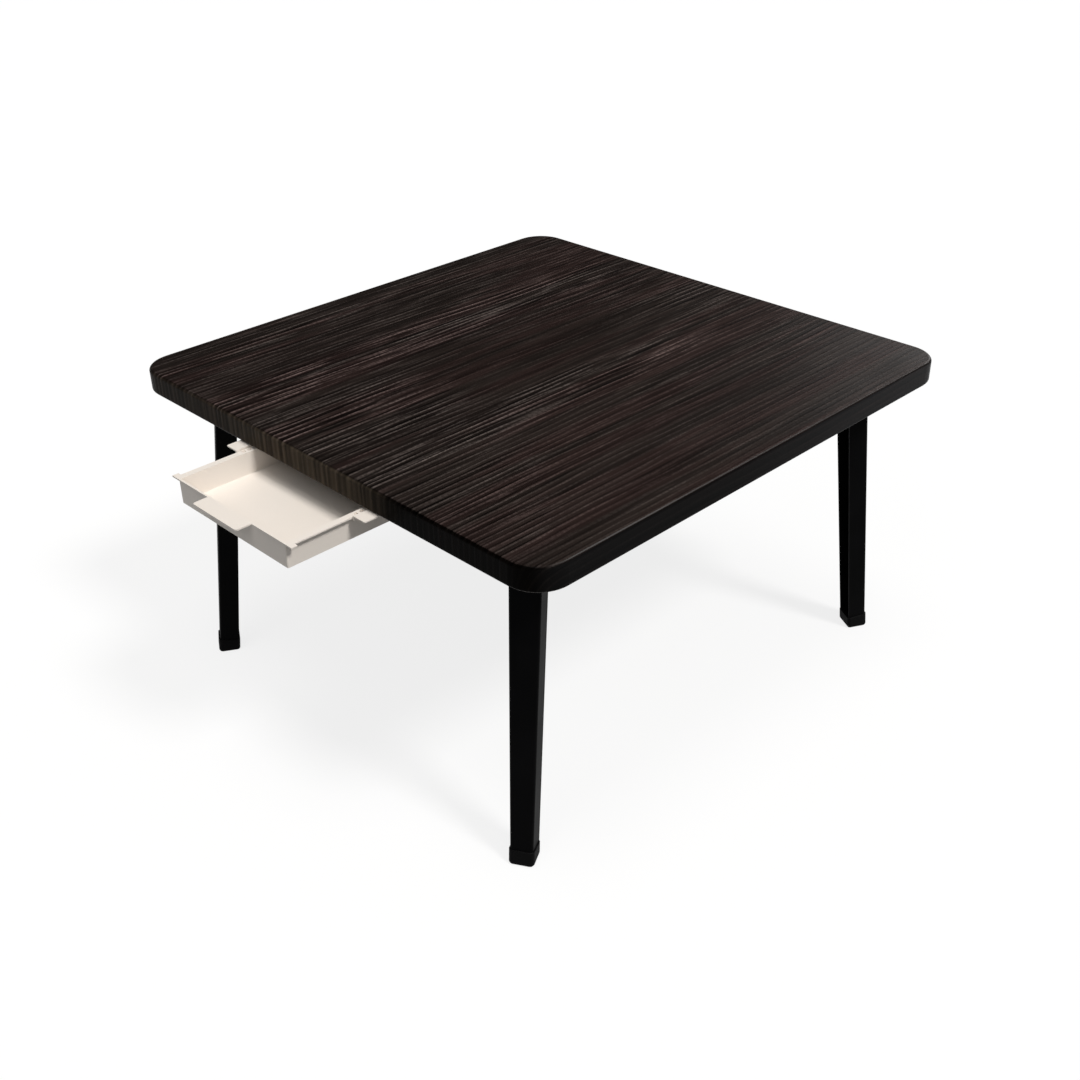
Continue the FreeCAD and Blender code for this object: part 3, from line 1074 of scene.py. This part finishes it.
@dataclass
class Studio:
    """Camera, pale floor, lamps and sky."""

    yaw: float = 45.62
    pitch: float = 31.02
    roll: float = -0.93
    distance: float = 1.389
    shift_right: float = -0.0024
    shift_up: float = -0.1894
    focal_pixels: float = 1324.0
    frame_pixels: float = 1080.0
    sensor: float = 36.0
    floor_level: float = -0.35
    floor_radius: float = 14.0
    floor_sides: int = 96
    floor_glow: float = 0.82
    floor_bounce: float = 0.13
    floor_seen: float = 0.95
    sky: float = 0.20
    sky_colour: Colour = (0.96, 0.98, 1.0)
    sky_tilt: Span = (-1.0, 1.0, 0.65, 1.35)
    horizon: Span = (0.0, 0.10)
    ceiling: float = 0.045
    window: float = 9.6
    window_at: Direction = (-0.25, 0.90, 0.36)
    window_edge: Span = (0.955, 0.992)
    lamps: tuple[Lamp, ...] = (
        Lamp(name="key", energy=2.2, spread=12.0, toward=(0.62, 0.06, 0.78)),
        Lamp(name="overhead", energy=0.88, spread=24.0, toward=(0.04, -0.12, 0.99)),
        Lamp(name="fill", energy=0.34, spread=40.0, toward=(0.30, -0.60, 0.74)),
    )

    def build(self) -> None:
        """Sets up the camera, the lights and the floor."""
        self._camera()
        self._world()
        for lamp in self.lamps:
            lamp.build()
        self._floor()
        bpy.context.scene.view_settings.view_transform = "Standard"

    def _camera(self) -> None:
        """Places the camera at the photograph's viewing angle."""
        yaw, pitch, roll = (math.radians(angle) for angle in (self.yaw, self.pitch, self.roll))
        level = math.cos(pitch)
        back = Vector((math.sin(yaw) * level, -math.cos(yaw) * level, math.sin(pitch)))
        right = Vector((math.cos(yaw), math.sin(yaw), 0.0))
        up = back.cross(right)
        place = right * self.shift_right + up * self.shift_up + back * self.distance
        turned_right = right * math.cos(roll) + up * math.sin(roll)
        turned_up = up * math.cos(roll) - right * math.sin(roll)
        data = bpy.data.cameras.new("photo_camera")
        data.sensor_width = self.sensor
        data.lens = self.sensor * self.focal_pixels / self.frame_pixels
        camera = bpy.data.objects.new("photo_camera", data)
        bpy.context.scene.collection.objects.link(camera)
        camera.matrix_world = Matrix((turned_right, turned_up, back)).transposed().to_4x4()
        camera.matrix_world.translation = place
        bpy.context.scene.camera = camera

    def _seen(self, graph: Graph) -> Socket:
        """Whether a ray shows the background: from the camera, in gloss or through glass."""
        path = graph.add("ShaderNodeLightPath", {}).outputs
        gloss = graph.math("MAXIMUM", path["Is Glossy Ray"], path["Is Transmission Ray"])
        return graph.math("MAXIMUM", path["Is Camera Ray"], gloss)

    def _world(self) -> None:
        """Makes a soft sky, white to the camera, with a dim ceiling and a window in reflections."""
        world = bpy.data.worlds.new("studio")
        bpy.context.scene.world = world
        world.use_nodes = True
        graph = Graph(world.node_tree)
        world.node_tree.nodes.clear()
        path = graph.add("ShaderNodeLightPath", {}).outputs
        sideways, _, height = graph.parts(graph.here("Generated"))
        low = graph.ramp(height, *self.horizon, 1.0, self.ceiling)
        toward = graph.dot(graph.here("Generated"), self.window_at)
        window = graph.ramp(toward, *self.window_edge, 0.0, self.window)
        overhead = graph.math("MAXIMUM", low, window)
        shown = graph.math("MAXIMUM", path["Is Camera Ray"], overhead)
        backdrop = graph.add("ShaderNodeBackground", {"Color": _rgba(WHITE), "Strength": shown})
        sky = graph.math("MULTIPLY", graph.ramp(sideways, *self.sky_tilt), self.sky)
        plugs = {"Color": _rgba(self.sky_colour), "Strength": sky}
        light = graph.add("ShaderNodeBackground", plugs)
        plugs = {0: self._seen(graph), 1: light.outputs[0], 2: backdrop.outputs[0]}
        either = graph.add("ShaderNodeMixShader", plugs)
        graph.add("ShaderNodeOutputWorld", {"Surface": either.outputs[0]})

    def _floor(self) -> None:
        """Lays the round pale floor, clear from below so that the underside can be seen."""
        ring = [
            (self.floor_radius * math.cos(turn), self.floor_radius * math.sin(turn), self.floor_level)
            for turn in (math.tau * step / self.floor_sides for step in range(self.floor_sides))
        ]
        mesh = bpy.data.meshes.new("floor")
        mesh.from_pydata(ring, [], [list(range(self.floor_sides))])
        floor = bpy.data.objects.new("floor", mesh)
        bpy.context.scene.collection.objects.link(floor)
        material = bpy.data.materials.new("pale_floor")
        material.use_nodes = True
        material.node_tree.nodes.clear()
        graph = Graph(material.node_tree)
        seen = self._seen(graph)
        bounce, shown = ((level, level, level) for level in (self.floor_bounce, self.floor_seen))
        matt = graph.add("ShaderNodeBsdfDiffuse", {"Color": graph.mix(seen, bounce, shown)})
        glow = graph.add("ShaderNodeEmission", {"Color": _rgba(WHITE), "Strength": 1.0})
        share = graph.math("MULTIPLY", seen, self.floor_glow)
        lit = graph.add("ShaderNodeMixShader", {0: share, 1: matt.outputs[0], 2: glow.outputs[0]})
        clear = graph.add("ShaderNodeBsdfTransparent", {})
        below = graph.add("ShaderNodeNewGeometry", {}).outputs["Backfacing"]
        sided = graph.add("ShaderNodeMixShader", {0: below, 1: lit.outputs[0], 2: clear.outputs[0]})
        graph.add("ShaderNodeOutputMaterial", {"Surface": sided.outputs[0]})
        mesh.materials.append(material)


def main() -> None:
    """Builds the table's dressing and the studio."""
    logging.basicConfig(level=logging.INFO, format="%(message)s")
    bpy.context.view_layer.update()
    effects = Effects()
    finishes = make_finishes(effects)
    log.info("finishes ready")
    TableTop(finishes).build()
    log.info("table top dressed")
    for corner in Corner:
        CornerLeg(finishes, corner).build()
        log.info("leg dressed: %s", corner.value)
    SlidingTray(finishes).build()
    log.info("tray and rails dressed")
    Studio().build()
    log.info("studio ready")


if __name__ == "__main__":
    main()
